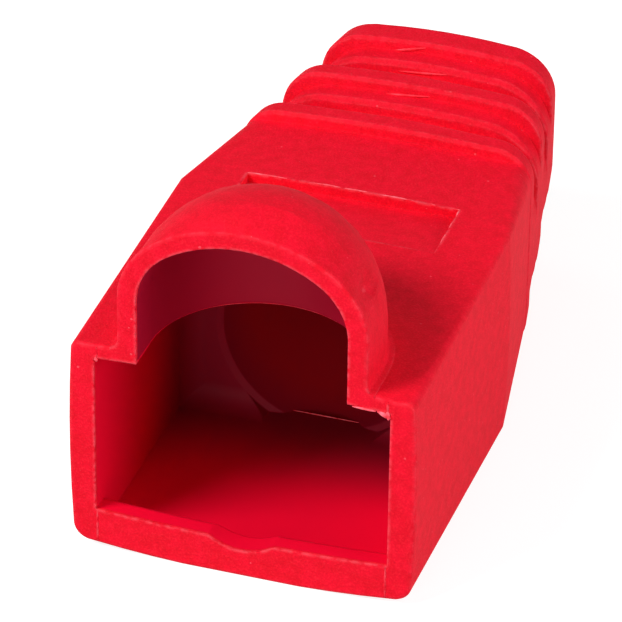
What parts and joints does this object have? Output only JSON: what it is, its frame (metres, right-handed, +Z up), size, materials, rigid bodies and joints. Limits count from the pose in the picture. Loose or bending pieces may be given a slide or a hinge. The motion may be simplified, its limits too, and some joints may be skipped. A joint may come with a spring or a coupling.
{
  "type": "modular plug strain relief boot",
  "caption": "Slip-on moulded boot for a modular plug: rectangular housing, domed latch hood over the mouth, sloping roof recess and a ribbed neck round the cable bore.",
  "frame": {"origin": "middle of the boot's footprint, on the flat underside it rests on", "axes": "+Y from the plug mouth to the cable end, +Z up through the latch hood, X across"},
  "size_m": [0.0142, 0.0274, 0.016],
  "materials": {
    "boot_plastic": "fine spark-eroded matt outside, smoother inside; soft red moulded PVC"
  },
  "bodies": {
    "root": {"strain_relief_boot": "boot_plastic"}
  },
  "joints": []
}
